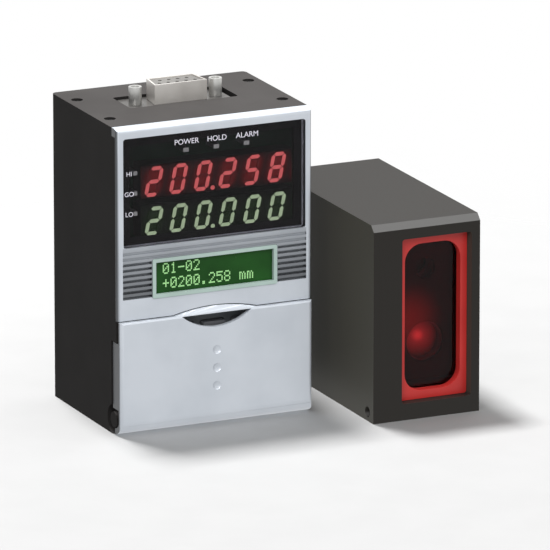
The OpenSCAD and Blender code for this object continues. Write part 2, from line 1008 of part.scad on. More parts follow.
module head_cover_screws() {
    color([0.3, 0.3, 0.3]) {
        head_side(head_w - 0.9, head_w - 0.1)
            lid_screw_places()
                difference() {
                    circle(1.6);
                    circle(0.6, $fn = 6);
                }
        head_side(head_w - lid_t - 5, head_w - 0.6)
            lid_screw_places()
                circle(lid_screw_r - 0.15);
    }
}

module window_frame() {
    color([0.72, 0.16, 0.15])
        head_front(eye_depth, glass_d)
            at_eye()
                difference() {
                    rounded_rect(eye_w - 2 * fit, eye_h - 2 * fit, 0.7);
                    rounded_rect(eye_w - 2 * eye_side_bar, eye_h - 2 * eye_bar, eye_corner_r);
                }
}

module front_glass() {
    color([0.25, 0.05, 0.06, 0.5])
        head_front(glass_d, glass_d + glass_t)
            at_eye()
                square([eye_w - 2 - 2 * fit, eye_h - 2 - 2 * fit], center = true);
}

// Black screen behind the glass, open for the laser beam and for the receiver lens
module aperture_mask() {
    color([0.06, 0.06, 0.07])
        head_front(room_front, room_front + mask_t)
            difference() {
                translate([head_wall + fit, room_low + 5])
                    square([head_w - lid_t - head_wall - 2 * fit, room_high - room_low - 10]);
                translate([eye_x, receiver_z])
                    circle(lens_r + 0.3);
                translate([eye_x, emitter_z])
                    circle(collimator_r - 0.5);
            }
}

module optical_base() {
    color([0.6, 0.61, 0.63])
        head_side(head_wall, head_wall + base_t)
            translate([room_front + 6, room_low + board_edge])
                square([room_rear - room_front - 7, room_high - room_low - 2 * board_edge]);
}

// Tube along the optical axis on a foot that stands on the optical base
module barrel(z, bore_r, d, len) {
    outer_r = bore_r + barrel_wall;
    foot_from = max(d, room_front + 6) + 1;
    foot_h = 2 * bore_r - 1;
    difference() {
        union() {
            head_axis(eye_x, z, d)
                cylinder(r = outer_r, h = len);
            head_front(foot_from, d + len - 1)
                translate([head_wall + base_t, z - foot_h / 2])
                    square([eye_x - head_wall - base_t, foot_h]);
        }
        head_axis(eye_x, z, d - past)
            cylinder(r = bore_r, h = len + 2 * past);
    }
}

module emitter_barrel() {
    color([0.55, 0.56, 0.58])
        barrel(emitter_z, collimator_r, emitter_d, emitter_len);
}

module receiver_barrel() {
    color([0.12, 0.12, 0.13])
        barrel(receiver_z, lens_r, lens_d, receiver_len);
}

// Plano-convex lens, its bulge towards the front
module lens(r, t, ball) {
    intersection() {
        cylinder(r = r - 0.04, h = t);
        translate([0, 0, ball])
            sphere(ball);
    }
}

module collimator_lens() {
    color([0.7, 0.75, 0.8, 0.5])
        head_axis(eye_x, emitter_z, emitter_d + 1)
            lens(collimator_r, 2.5, 2 * collimator_r);
}

module receiver_lens() {
    color([0.7, 0.3, 0.3, 0.6])
        head_axis(eye_x, receiver_z, lens_d + 0.3)
            lens(lens_r, lens_t, 1.65 * lens_r);
}

// Laser in its round metal can, its flange in the end of the barrel
module laser_diode() {
    diode_end = emitter_d + emitter_len;
    color([0.75, 0.68, 0.45]) {
        head_axis(eye_x, emitter_z, diode_end - 2)
            cylinder(r = collimator_r - 0.04, h = 2);
        head_axis(eye_x, emitter_z, diode_end - 5)
            cylinder(r = collimator_r - 1.1, h = 4);
    }
}

module diode_board() {
    diode_end = emitter_d + emitter_len;
    color([0.1, 0.3, 0.18])
        head_front(diode_end, diode_end + 1.2)
            translate([eye_x, emitter_z])
                square(diode_board_w, center = true);
}

module head_board(d) {
    head_front(d, d + board_t)
        translate([head_wall + base_t, room_low + board_edge])
            square([head_w - lid_t - head_wall - base_t - 1, room_high - room_low - 2 * board_edge]);
}

module imager_board() {
    color([0.08, 0.32, 0.16])
        head_board(imager_d);
}

module imager_chip() {
    color([0.15, 0.15, 0.18])
        head_front(imager_d - imager_t, imager_d)
            translate([eye_x, receiver_z])
                square(imager_size, center = true);
}

module driver_board() {
    color([0.1, 0.28, 0.14])
        head_board(driver_d);
}

module cable_gland() {
    nut_len = 3;
    cap_len = 4;
    color([0.1, 0.1, 0.1])
        head_axis(head_w / 2, gland_z, 0)
            difference() {
                union() {
                    translate([0, 0, room_rear + 1])
                        cylinder(r = gland_r - 0.05, h = head_d - room_rear);
                    translate([0, 0, head_d])
                        cylinder(r = gland_r + 2.2, h = nut_len, $fn = 6);
                    translate([0, 0, head_d + nut_len])
                        cylinder(r = gland_r + 1, h = cap_len);
                    translate([0, 0, head_d + nut_len + cap_len])
                        cylinder(r1 = gland_r + 1, r2 = gland_r, h = 1.2);
                }
                cylinder(r = gland_r - 1.6, h = 2 * head_d);
            }
}

rear_case();
top_cover();
front_bezel();
display_window();
display_board();
red_digit_module();
green_digit_module();
indicator_leds();
lcd_frame();
lcd_glass();
lcd_module();
key_panel();
key_board();
tact_switches();
key_f1();
key_f2();
key_f3();
key_f4();
key_up();
key_down();
key_left();
key_right();
key_set();
key_escape();
mode_switch();
mode_switch_knob();
key_cover();
main_board();
power_board();
dsub_shell();
dsub_insert();
jack_screws();
case_screws();
head_connector();
head_case();
head_side_cover();
head_cover_screws();
window_frame();
front_glass();
aperture_mask();
optical_base();
emitter_barrel();
collimator_lens();
laser_diode();
diode_board();
receiver_barrel();
receiver_lens();
imager_board();
imager_chip();
driver_board();
cable_gland();
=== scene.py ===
import math

import bmesh
import bpy
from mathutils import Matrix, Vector


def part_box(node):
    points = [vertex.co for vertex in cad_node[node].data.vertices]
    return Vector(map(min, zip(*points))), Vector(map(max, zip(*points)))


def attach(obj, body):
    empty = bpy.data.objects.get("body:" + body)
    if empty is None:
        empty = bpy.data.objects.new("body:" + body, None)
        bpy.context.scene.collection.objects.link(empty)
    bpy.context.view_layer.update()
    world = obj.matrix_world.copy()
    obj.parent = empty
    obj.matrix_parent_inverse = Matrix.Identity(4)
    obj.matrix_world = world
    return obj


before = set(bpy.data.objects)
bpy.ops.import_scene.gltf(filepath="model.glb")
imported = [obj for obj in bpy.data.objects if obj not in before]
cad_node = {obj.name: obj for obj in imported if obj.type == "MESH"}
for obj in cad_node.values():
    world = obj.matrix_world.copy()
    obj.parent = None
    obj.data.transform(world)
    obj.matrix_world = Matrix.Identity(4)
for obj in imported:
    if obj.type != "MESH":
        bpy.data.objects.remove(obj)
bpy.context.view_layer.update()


# The rear case and its top cover are moulded in black polycarbonate with a fine eroded grain.
# The cover is screwed to four posts in the case, and the case reaches round the sides of the bezel.
# The upper faces are painted a little greyer than the sides, a painted sheen.
MM = 0.001
DRIFT_SCALE = 60
DRIFT_DETAIL = 3
DRIFT_LEVELS = (0.35, 0.65)
GLOSS_SPREAD = 0.06
RELIEF_STRENGTH = 0.6
SEAM_REACH = 0.001 * MM
SHARP_ANGLE = math.radians(40)
TOP_SHEEN_FACING = (0.6, 0.95)
TOP_PAINTED_SHEEN = 2.7


def plain_material(name):
    """A new material and its shader, before any finish is put on it."""
    material = bpy.data.materials.new(name)
    material.use_nodes = True
    return material, material.node_tree.nodes["Principled BSDF"]


def clouds(material, scale, detail=2):
    """A soft random pattern over the piece, from 0 to 1."""
    nodes = material.node_tree.nodes
    place = nodes.new("ShaderNodeTexCoord")
    noise = nodes.new("ShaderNodeTexNoise")
    noise.inputs["Scale"].default_value = scale
    noise.inputs["Detail"].default_value = detail
    material.node_tree.links.new(place.outputs["Object"], noise.inputs["Vector"])
    return noise.outputs["Fac"]


def mapped(owner, source, start, end, first, last, blend="LINEAR"):
    """A value that goes from first to last as its source goes from start to end."""
    change = owner.node_tree.nodes.new("ShaderNodeMapRange")
    change.interpolation_type = blend
    change.inputs["From Min"].default_value = start
    change.inputs["From Max"].default_value = end
    change.inputs["To Min"].default_value = first
    change.inputs["To Max"].default_value = last
    owner.node_tree.links.new(source, change.inputs["Value"])
    return change.outputs["Result"]


def through_colours(material, source, *stops):
    """A colour that passes its stops as its source rises. A stop is a level of the source and a colour."""
    ramp = material.node_tree.nodes.new("ShaderNodeValToRGB")
    elements = ramp.color_ramp.elements
    lowest, *between, highest = stops
    for element, (level, colour) in ((elements[0], lowest), (elements[1], highest)):
        element.position = level
        element.color = (*colour, 1)
    for level, colour in between:
        elements.new(level).color = (*colour, 1)
    material.node_tree.links.new(source, ramp.inputs["Fac"])
    return ramp.outputs["Color"]


def textured(name, roughness, grain_mm, depth_mm, specular=0.5, metallic=0.0):
    """Moulded or painted surface with a fine grain in gloss and relief, before it has its colour."""
    material, shader = plain_material(name)
    links = material.node_tree.links
    shader.inputs["Metallic"].default_value = metallic
    shader.inputs["Specular IOR Level"].default_value = specular
    grain = clouds(material, 1 / (grain_mm * MM))
    gloss = mapped(material, grain, 0, 1, roughness - GLOSS_SPREAD, roughness + GLOSS_SPREAD)
    links.new(gloss, shader.inputs["Roughness"])
    relief = material.node_tree.nodes.new("ShaderNodeBump")
    relief.inputs["Strength"].default_value = RELIEF_STRENGTH
    relief.inputs["Distance"].default_value = depth_mm * MM
    links.new(grain, relief.inputs["Height"])
    links.new(relief.outputs["Normal"], shader.inputs["Normal"])
    return material


def grained(name, dark, light, **texture):
    """Textured finish whose colour drifts slowly between a dark and a light tone."""
    material = textured(name, **texture)
    drift = clouds(material, DRIFT_SCALE, DRIFT_DETAIL)
    tint = through_colours(material, drift, (DRIFT_LEVELS[0], dark), (DRIFT_LEVELS[1], light))
    material.node_tree.links.new(tint, material.node_tree.nodes["Principled BSDF"].inputs["Base Color"])
    return material


def facing_along(material, axis):
    """How far a surface faces along one axis, from -1 to 1."""
    nodes = material.node_tree.nodes
    shape = nodes.new("ShaderNodeNewGeometry")
    split = nodes.new("ShaderNodeSeparateXYZ")
    material.node_tree.links.new(shape.outputs["Normal"], split.inputs["Vector"])
    return split.outputs[axis]


def toned(material, tone):
    """Makes a finish lighter or darker by a tone that changes over the piece."""
    links = material.node_tree.links
    colour = material.node_tree.nodes["Principled BSDF"].inputs["Base Color"]
    scaled = material.node_tree.nodes.new("ShaderNodeVectorMath")
    scaled.operation = "SCALE"
    links.new(colour.links[0].from_socket, scaled.inputs[0])
    links.new(tone, scaled.inputs["Scale"])
    links.new(scaled.outputs["Vector"], colour)


def finish(material, *names):
    """Gives CAD nodes this finish in place of the frame's own."""
    for name in names:
        cad_node[name].data.materials.clear()
        cad_node[name].data.materials.append(material)


def softened(width_mm, *names):
    """Joins a node's faces and rounds its sharp edges a little, as a mould or a paint film leaves them."""
    for name in names:
        seam = cad_node[name].modifiers.new("joined faces", "WELD")
        seam.merge_threshold = SEAM_REACH
        edge = cad_node[name].modifiers.new("soft edges", "BEVEL")
        edge.width = width_mm * MM
        edge.segments = 2
        edge.limit_method = "ANGLE"
        edge.angle_limit = SHARP_ANGLE
        edge.use_clamp_overlap = True


case_black = grained("case black", (0.018, 0.0169, 0.0164), (0.0208, 0.0196, 0.019),
                     roughness=0.5, grain_mm=0.25, depth_mm=0.02, specular=0.015)
# Painted sheen: the upper faces are made lighter than the sides.
toned(case_black, mapped(case_black, facing_along(case_black, "Z"), *TOP_SHEEN_FACING, 1, TOP_PAINTED_SHEEN))
finish(case_black, "rear_case", "top_cover")
softened(0.4, "rear_case", "top_cover")

# The screws in the top are blacked steel with a cross recess, sunk below the surface.
# The same finish is on the four small screws that hold the lid of the head.
screw_black = grained("blacked steel", (0.009, 0.009, 0.009), (0.021, 0.021, 0.0225),
                      roughness=0.4, grain_mm=0.1, depth_mm=0.005, specular=0.3, metallic=0.2)
finish(screw_black, "case_screws", "head_cover_screws")

# The data connector is a stamped steel shell with tin plating around an ivory insulator, and painted shade
# darkens its flange below the shell. Two turned posts hold it to the top cover and take the screws of the
# plug.
# The socket in the base, the switches and the imager have the same kind of body, moulded in black.
FLANGE = 0.85 * MM
FLANGE_FOLD = 0.3 * MM
FLANGE_SHADE = 0.2


def place_along(material, axis):
    """How far a point of the piece lies along one axis of the object, in metres."""
    nodes = material.node_tree.nodes
    place = nodes.new("ShaderNodeTexCoord")
    split = nodes.new("ShaderNodeSeparateXYZ")
    material.node_tree.links.new(place.outputs["Object"], split.inputs["Vector"])
    return split.outputs[axis]


tin_plate = grained("tin plate", (0.463, 0.438, 0.413), (0.725, 0.7, 0.663),
                    roughness=0.34, grain_mm=0.4, depth_mm=0.004, metallic=0.6)
# Painted shade: the flange is darkened below the shell.
flange_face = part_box("dsub_shell")[0][2] + FLANGE
flange_shade_to_shell = mapped(tin_plate, place_along(tin_plate, "Z"), flange_face, flange_face + FLANGE_FOLD,
                         FLANGE_SHADE, 1)
toned(tin_plate, flange_shade_to_shell)
post_steel = grained("post steel", (0.432, 0.432, 0.42), (0.6, 0.6, 0.576),
                     roughness=0.3, grain_mm=0.3, depth_mm=0.001, metallic=0.7)
ivory = grained("ivory", (0.111, 0.105, 0.101), (0.156, 0.15, 0.14),
                roughness=0.4, grain_mm=0.2, depth_mm=0.008, specular=0.35)
insulator_black = grained("insulator black", (0.018, 0.018, 0.0195), (0.03, 0.03, 0.0315),
                          roughness=0.45, grain_mm=0.2, depth_mm=0.01)
finish(tin_plate, "dsub_shell")
finish(post_steel, "jack_screws")
finish(ivory, "dsub_insert")
finish(insulator_black, "head_connector", "tact_switches", "mode_switch", "imager_chip")
softened(0.2, "dsub_shell", "jack_screws")

# The circuit boards are glass-fibre sheets under green solder mask. They stand in slots of the case,
# on the posts of the bezel and on the optical base of the head.
solder_mask = grained("solder mask", (0.015, 0.105, 0.045), (0.027, 0.15, 0.0675),
                      roughness=0.3, grain_mm=0.8, depth_mm=0.01)
finish(solder_mask, "display_board", "key_board", "main_board", "power_board",
       "diode_board", "imager_board", "driver_board")

# The front bezel and the key cover are moulded and sprayed with fine silver paint, with painted shade on
# their sides.
# The bezel closes the case, and painted shade darkens the band of ridges across it, most towards its foot.
# The cover swings down on two stubs at its lower edge.
SIDE_PAINTED_SHADE = 0.12
COVER_SIDE_SHADE = (0.85, 1.0)
BEZEL_SIDE_SHADE = (0.25, 0.8)
BAND_FOOT_SHADE = 0.22
BAND_TOP_SHADE = 0.66
BAND_MARGIN = 1.8 * MM
BAND_RISE = 0.45 * MM
BAND_STEP = 0.001


def maths(owner, operation, *terms):
    """One sum in a material or in the world. A term is a number or the outcome of another step."""
    step = owner.node_tree.nodes.new("ShaderNodeMath")
    step.operation = operation
    for socket, term in zip(step.inputs, terms):
        if isinstance(term, (int, float)):
            socket.default_value = term
        else:
            owner.node_tree.links.new(term, socket)
    return step.outputs["Value"]


def silver_sprayed(name, side_shade):
    """Silver paint with painted shade, darker as a face turns from the front to the left or right of a
    piece.
    """
    material = grained(name, (0.48, 0.515, 0.562), (0.535, 0.57, 0.617),
                       roughness=0.36, grain_mm=0.12, depth_mm=0.004, metallic=0.3)
    sideways = maths(material, "ABSOLUTE", facing_along(material, "X"))
    toned(material, mapped(material, sideways, *side_shade, 1, SIDE_PAINTED_SHADE))
    return material


def shade_ridge_band(material, foot, top, half_width):
    """Paints shade on a band across the bezel, darkest at its foot, and leaves the margins beside it
    unshaded.
    """
    height = top - foot
    rise = mapped(material, place_along(material, "Z"), foot - height, top + height, 0, 1)
    light = (1, 1, 1)
    band = through_colours(material, rise,
                           (0, light), (1 / 3 - BAND_STEP, light),
                           (1 / 3, [BAND_FOOT_SHADE] * 3), (2 / 3, [BAND_TOP_SHADE] * 3),
                           (2 / 3 + BAND_STEP, light), (1, light))
    across = maths(material, "ABSOLUTE", place_along(material, "X"))
    within = maths(material, "LESS_THAN", across, half_width)
    toned(material, maths(material, "MULTIPLY_ADD", within, maths(material, "SUBTRACT", band, 1), 1))


# Painted shade darkens the sides of both pieces and the bezel's band of ridges.
cover_silver = silver_sprayed("cover silver", COVER_SIDE_SHADE)
bezel_silver = silver_sprayed("bezel silver", BEZEL_SIDE_SHADE)
shade_ridge_band(bezel_silver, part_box("lcd_frame")[0][2] + BAND_RISE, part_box("display_window")[0][2],
           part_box("front_bezel")[1][0] - BAND_MARGIN)
finish(cover_silver, "key_cover")
finish(bezel_silver, "front_bezel")
softened(0.25, "key_cover")
softened(0.12, "front_bezel")

# The digit modules are dark moulded blocks behind a smoked window. Each holds six slanted digits of
# seven bars, and the bars that are lit shine through the window.
# A painted glow lies on the faces of the digit blocks round the digits and on the unlit bars.
DIGIT_COUNT = 6
DIGIT_PITCH = 7.62 * MM
DIGIT_SHIFT = -0.35 * MM
DIGIT_WIDTH = 4.5 * MM
RED_HEIGHT = 8.7 * MM
GREEN_HEIGHT = 8.3 * MM
BAR = 1.1 * MM
BAR_GAP = 0.1 * MM
BAR_RAISE = 0.25 * MM
POINT_RADIUS = 0.6 * BAR
POINT_SIDES = 16
SLANT = math.tan(math.radians(12))
LIT_BARS = {"0": "abcdef", "2": "abged", "5": "afgcd", "8": "abcdefg"}
LAMP_ROUGHNESS = 0.35
GLOW_SCALE = 900
GLOW_SPREAD = 0.25
FRONT_FACING = (-0.4, -0.8)
PAINTED_GLOW_BETWEEN_DIGITS = 0.1


def shining(name, colour, strength, body):
    """Plastic that glows on its front, slightly unevenly, over its body colour: a lamp lit from inside, or
    a painted glow.
    """
    material, shader = plain_material(name)
    shader.inputs["Base Color"].default_value = (*body, 1)
    shader.inputs["Roughness"].default_value = LAMP_ROUGHNESS
    shader.inputs["Emission Color"].default_value = (*colour, 1)
    glow = mapped(material, clouds(material, GLOW_SCALE), 0, 1,
                  strength * (1 - GLOW_SPREAD), strength * (1 + GLOW_SPREAD))
    front_only = mapped(material, facing_along(material, "Y"), *FRONT_FACING, 0, 1)
    front_glow = maths(material, "MULTIPLY", glow, front_only)
    material.node_tree.links.new(front_glow, shader.inputs["Emission Strength"])
    return material


def add_prism(mesh, outline, front, back):
    """Adds an upright outline, given across and up, as a prism between two depths."""
    near = [mesh.verts.new((x, front, z)) for x, z in outline]
    far = [mesh.verts.new((x, back, z)) for x, z in outline]
    mesh.faces.new(near)
    mesh.faces.new(list(reversed(far)))
    count = len(outline)
    for i in range(count):
        k = (i + 1) % count
        mesh.faces.new((near[k], near[i], far[i], far[k]))


def piece_from(mesh, name, material, body):
    """Turns a finished mesh into a piece of the object that rides on a body."""
    bmesh.ops.recalc_face_normals(mesh, faces=mesh.faces)
    data = bpy.data.meshes.new(name)
    mesh.to_mesh(data)
    mesh.free()
    piece = bpy.data.objects.new(name, data)
    bpy.context.scene.collection.objects.link(piece)
    data.materials.append(material)
    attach(piece, body)


def bar_outline(start, end):
    """A bar with pointed ends between two corners of the digit's figure eight."""
    along = (end - start).normalized()
    side = Vector((-along.y, along.x))
    first = start + along * BAR_GAP
    last = end - along * BAR_GAP
    half_bar = BAR / 2
    return [first, first + (along - side) * half_bar, last - (along + side) * half_bar, last,
            last + (side - along) * half_bar, first + (along + side) * half_bar]


def digit_bars(height):
    """Outlines of the seven bars of one upright digit about its middle, by letter."""
    x = (DIGIT_WIDTH - BAR) / 2
    z = (height - BAR) / 2
    ends = {"a": (-x, z, x, z), "b": (x, z, x, 0), "c": (x, 0, x, -z), "d": (x, -z, -x, -z),
            "e": (-x, -z, -x, 0), "f": (-x, 0, -x, z), "g": (-x, 0, x, 0)}
    return {letter: bar_outline(Vector(pair[:2]), Vector(pair[2:])) for letter, pair in ends.items()}


def digit_row(module, number, height, lit_material, dark_material, title):
    """Six digits on the front of a module: lit bars, unlit bars and the point after the third digit."""
    low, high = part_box(module)
    centre = (low[0] + high[0]) / 2 + DIGIT_SHIFT
    middle = (low[2] + high[2]) / 2
    front = low[1] - BAR_RAISE
    lit = bmesh.new()
    unlit = bmesh.new()
    bars = digit_bars(height)
    for i, figure in enumerate(number.replace(".", "")):
        across = centre + (i - (DIGIT_COUNT - 1) / 2) * DIGIT_PITCH
        for letter, outline in bars.items():
            target = lit if letter in LIT_BARS[figure] else unlit
            slanted = [(across + corner.x + corner.y * SLANT, middle + corner.y) for corner in outline]
            add_prism(target, slanted, front, low[1])
    point_x = centre + (number.index(".") - DIGIT_COUNT / 2) * DIGIT_PITCH - height / 2 * SLANT
    point_z = middle - height / 2 + BAR / 2
    turns = [math.tau * k / POINT_SIDES for k in range(POINT_SIDES)]
    point = [(point_x + POINT_RADIUS * math.cos(turn), point_z + POINT_RADIUS * math.sin(turn))
             for turn in turns]
    add_prism(lit, point, front, low[1])
    piece_from(lit, title + "_lit_bars", lit_material, "instrument")
    piece_from(unlit, title + "_dark_bars", dark_material, "instrument")


def painted_glow_at_digits(material, module, height):
    """Keeps the painted glow of a module's face round its digits and fades it out between them and at the
    edges.
    """
    low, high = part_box(module)
    first_digit = (low[0] + high[0]) / 2 + DIGIT_SHIFT - (DIGIT_COUNT - 1) / 2 * DIGIT_PITCH
    middle = (low[2] + high[2]) / 2
    rise = maths(material, "SUBTRACT", place_along(material, "Z"), middle)
    along = maths(material, "SUBTRACT", place_along(material, "X"), first_digit)
    upright = maths(material, "MULTIPLY_ADD", rise, -SLANT, along)
    from_digit = maths(material, "PINGPONG", upright, DIGIT_PITCH / 2)
    from_row = maths(material, "ABSOLUTE", rise)
    by_digit = mapped(material, from_digit, DIGIT_WIDTH / 2 - BAR, DIGIT_PITCH / 2, 1, PAINTED_GLOW_BETWEEN_DIGITS)
    by_row = mapped(material, from_row, height / 2 - 2 * BAR, height / 2 + BAR / 2, 1, 0)
    strength = material.node_tree.nodes["Principled BSDF"].inputs["Emission Strength"]
    near_digits = maths(material, "MULTIPLY", strength.links[0].from_socket, by_digit)
    material.node_tree.links.new(maths(material, "MULTIPLY", near_digits, by_row), strength)


# The glow on the block faces and on the unlit bars is painted.
red_block = shining("red block", (1.0, 0.05, 0.05), 0.36, (0.014, 0.005, 0.006))
green_block = shining("green block", (0.35, 1.0, 0.2), 0.06, (0.007, 0.011, 0.006))
painted_glow_at_digits(red_block, "red_digit_module", RED_HEIGHT)
painted_glow_at_digits(green_block, "green_digit_module", GREEN_HEIGHT)
finish(red_block, "red_digit_module")
finish(green_block, "green_digit_module")
red_lit = shining("lit red", (1.0, 0.2, 0.19), 2.1, (0.4, 0.03, 0.03))
green_lit = shining("lit green", (0.76, 1.0, 0.6), 1.65, (0.2, 0.3, 0.12))
red_unlit_painted_glow = shining("unlit red", (1.0, 0.05, 0.05), 0.26, (0.035, 0.007, 0.008))
green_unlit_painted_glow = shining("unlit green", (0.35, 1.0, 0.2), 0.04, (0.01, 0.019, 0.0075))
digit_row("red_digit_module", "200.258", RED_HEIGHT, red_lit, red_unlit_painted_glow, "red")
digit_row("green_digit_module", "200.000", GREEN_HEIGHT, green_lit, green_unlit_painted_glow, "green")

# The indicator lamps are small clear blocks over the digits and beside them. White legends are printed
# on the back of the smoked window: generic words over the row and beside the column.
ROW_WORDS = ("POWER", "HOLD", "ALARM")
ROW_LEGEND = 2.2 * MM
ROW_LEGEND_RISE = 1.9 * MM
COLUMN_WORDS = ("HI", "GO", "LO")
COLUMN_LEGEND = 1.9 * MM
COLUMN_LEGEND_STEP = 1.5 * MM
LAMP_HEIGHT = 1.2 * MM
LAMP_WIDTH = 1.4 * LAMP_HEIGHT
LAMP_ROW_PITCH = 9.4 * MM
LAMP_COLUMN_PITCH = 5.9 * MM
PRINT_DEPTH = 0.08 * MM
PRINT_RAISE = 0.02 * MM
lamp_clear = shining("lamp clear", (0.8, 0.85, 0.78), 0.9, (0.3, 0.31, 0.3))
finish(lamp_clear, "indicator_leds")
# The legends carry a painted glow, so that the print reads white through the smoked window.
legend_white_painted_glow = shining("legend white", (0.85, 0.87, 0.92), 1.5, (0.8, 0.82, 0.84))
window_low, window_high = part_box("display_window")
lamp_low, lamp_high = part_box("indicator_leds")
print_face = window_high[1] - PRINT_DEPTH


def legend(words, size, across, height, title):
    """A printed legend as a thin flat figure that faces the front."""
    letters = bpy.data.curves.new(title, "FONT")
    letters.body = words
    letters.size = size
    letters.align_x = "CENTER"
    letters.align_y = "CENTER"
    letters.extrude = PRINT_RAISE
    letters.materials.append(legend_white_painted_glow)
    piece = bpy.data.objects.new(title, letters)
    piece.location = (across, print_face, height)
    piece.rotation_euler = (math.pi / 2, 0, 0)
    bpy.context.scene.collection.objects.link(piece)
    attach(piece, "instrument")


lamp_row_last = lamp_high[0] - LAMP_WIDTH / 2
lamp_column_foot = lamp_low[2] + LAMP_HEIGHT / 2
for i, words in enumerate(ROW_WORDS):
    lamp_x = lamp_row_last - (len(ROW_WORDS) - 1 - i) * LAMP_ROW_PITCH
    legend(words, ROW_LEGEND, lamp_x, lamp_high[2] + ROW_LEGEND_RISE, "lamp_legend_%d" % (i + 1))
for i, words in enumerate(COLUMN_WORDS):
    lamp_z = lamp_column_foot + (len(COLUMN_WORDS) - 1 - i) * LAMP_COLUMN_PITCH
    legend(words, COLUMN_LEGEND, lamp_low[0] - COLUMN_LEGEND_STEP, lamp_z, "row_legend_%d" % (i + 1))

# The display window is a plate of smoked acrylic let into the bezel, polished on both faces.
# A black border printed on its back hides the ledge that it rests on.
BORDER_WIDTH = 2.3 * MM
BORDER_INSET = 0.3 * MM
POLISH_ROUGHNESS = 0.03
PLATE_IOR = 1.22
PLATE_SPECULAR = 0.3


def rectangle(left, right, foot, top):
    """Corners of an upright rectangle, given across and up."""
    return [(left, foot), (right, foot), (right, top), (left, top)]


def polished(name, dark, light, cloud_scale):
    """Tinted plate that is clear all through, polished, and tinted a little unevenly."""
    material, shader = plain_material(name)
    shader.inputs["Transmission Weight"].default_value = 1.0
    shader.inputs["Roughness"].default_value = POLISH_ROUGHNESS
    shader.inputs["IOR"].default_value = PLATE_IOR
    shader.inputs["Specular IOR Level"].default_value = PLATE_SPECULAR
    tint = through_colours(material, clouds(material, cloud_scale), (0, dark), (1, light))
    material.node_tree.links.new(tint, shader.inputs["Base Color"])
    return material


border_black = grained("border black", (0.009, 0.009, 0.0105), (0.0165, 0.015, 0.018),
                       roughness=0.5, grain_mm=0.3, depth_mm=0.002, specular=0.2)
border_left = window_low[0] + BORDER_INSET
border_right = window_high[0] - BORDER_INSET
border_foot = window_low[2] + BORDER_INSET
border_top = window_high[2] - BORDER_INSET
side_foot = border_foot + BORDER_WIDTH
side_top = border_top - BORDER_WIDTH
border = bmesh.new()
for strip in (rectangle(border_left, border_right, border_foot, side_foot),
              rectangle(border_left, border_right, side_top, border_top),
              rectangle(border_left, border_left + BORDER_WIDTH, side_foot, side_top),
              rectangle(border_right - BORDER_WIDTH, border_right, side_foot, side_top)):
    add_prism(border, strip, print_face + PRINT_RAISE, print_face + 2 * PRINT_RAISE)
piece_from(border, "window_border", border_black, "instrument")
smoked = polished("smoked acrylic", (0.2, 0.19, 0.21), (0.25, 0.235, 0.26), cloud_scale=40)
finish(smoked, "display_window")

# The character display is a green backlit glass in a pale satin frame. Its two lines are dots of a
# five by seven matrix, lighter than the ground, and show plain figures.
DOT_STEP = (0.39 * MM, 0.46 * MM)
DOT_SIZE = (0.34 * MM, 0.41 * MM)
DOT_RAISE = 0.03 * MM
DOT_ROWS = 7
LETTER_PITCH = 2.38 * MM
LINE_START = 2.4 * MM
LINES = {"01-02": 0.74, "+0200.258 mm": 0.27}
GLYPHS = {
    "0": ("01110", "10001", "10011", "10101", "11001", "10001", "01110"),
    "1": ("00100", "01100", "00100", "00100", "00100", "00100", "01110"),
    "2": ("01110", "10001", "00001", "00010", "00100", "01000", "11111"),
    "5": ("11111", "10000", "11110", "00001", "00001", "10001", "01110"),
    "8": ("01110", "10001", "10001", "01110", "10001", "10001", "01110"),
    "+": ("00000", "00100", "00100", "11111", "00100", "00100", "00000"),
    "-": ("00000", "00000", "00000", "11111", "00000", "00000", "00000"),
    ".": ("00000", "00000", "00000", "00000", "00000", "01100", "01100"),
    "m": ("00000", "00000", "11010", "10101", "10101", "10101", "10101"),
}
green_glass = grained("green glass", (0.00525, 0.042, 0.0045), (0.012, 0.081, 0.0105),
                      roughness=0.25, grain_mm=2.0, depth_mm=0.001, specular=0.15)
pale_frame = grained("pale frame", (0.338, 0.435, 0.398), (0.398, 0.51, 0.473),
                     roughness=0.4, grain_mm=0.2, depth_mm=0.004, specular=0.35)
backlight_white = grained("backlight white", (0.55, 0.56, 0.5), (0.62, 0.63, 0.57),
                          roughness=0.5, grain_mm=0.3, depth_mm=0.005)
finish(green_glass, "lcd_glass")
finish(pale_frame, "lcd_frame")
finish(backlight_white, "lcd_module")
softened(0.12, "lcd_frame")
glass_low, glass_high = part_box("lcd_glass")
dots = bmesh.new()
for line, height_share in LINES.items():
    line_middle = glass_low[2] + height_share * (glass_high[2] - glass_low[2])
    line_top = line_middle + (DOT_ROWS - 1) / 2 * DOT_STEP[1]
    for i, letter in enumerate(line):
        letter_left = glass_low[0] + LINE_START + i * LETTER_PITCH
        for row, code in enumerate(GLYPHS.get(letter, ())):
            for column, mark in enumerate(code):
                if mark == "1":
                    x = letter_left + column * DOT_STEP[0]
                    z = line_top - row * DOT_STEP[1]
                    dot = rectangle(x, x + DOT_SIZE[0], z, z + DOT_SIZE[1])
                    add_prism(dots, dot, glass_low[1] - DOT_RAISE, glass_low[1])
dot_green = shining("dot green", (0.4, 0.8, 0.3), 0.27, (0.27, 0.54, 0.22))
piece_from(dots, "display_dots", dot_green, "instrument")

# The key panel is a dark moulded plate behind the key cover. Dark soft keys and a white slide knob
# come through it, and each key presses a switch on the board behind.
NOT_KEYS = ("key_panel", "key_board", "key_cover")
panel_grey = grained("panel grey", (0.09, 0.099, 0.105), (0.112, 0.123, 0.131),
                     roughness=0.55, grain_mm=0.25, depth_mm=0.015, specular=0.3)
key_grey = grained("key grey", (0.075, 0.078, 0.0855), (0.0975, 0.101, 0.108),
                   roughness=0.5, grain_mm=0.2, depth_mm=0.01)
knob_white = grained("knob white", (0.743, 0.743, 0.743), (0.837, 0.837, 0.824),
                     roughness=0.4, grain_mm=0.2, depth_mm=0.008)
finish(panel_grey, "key_panel")
keys = [name for name in cad_node if name.startswith("key_") and name not in NOT_KEYS]
finish(key_grey, *keys)
finish(knob_white, "mode_switch_knob")
softened(0.3, *keys)
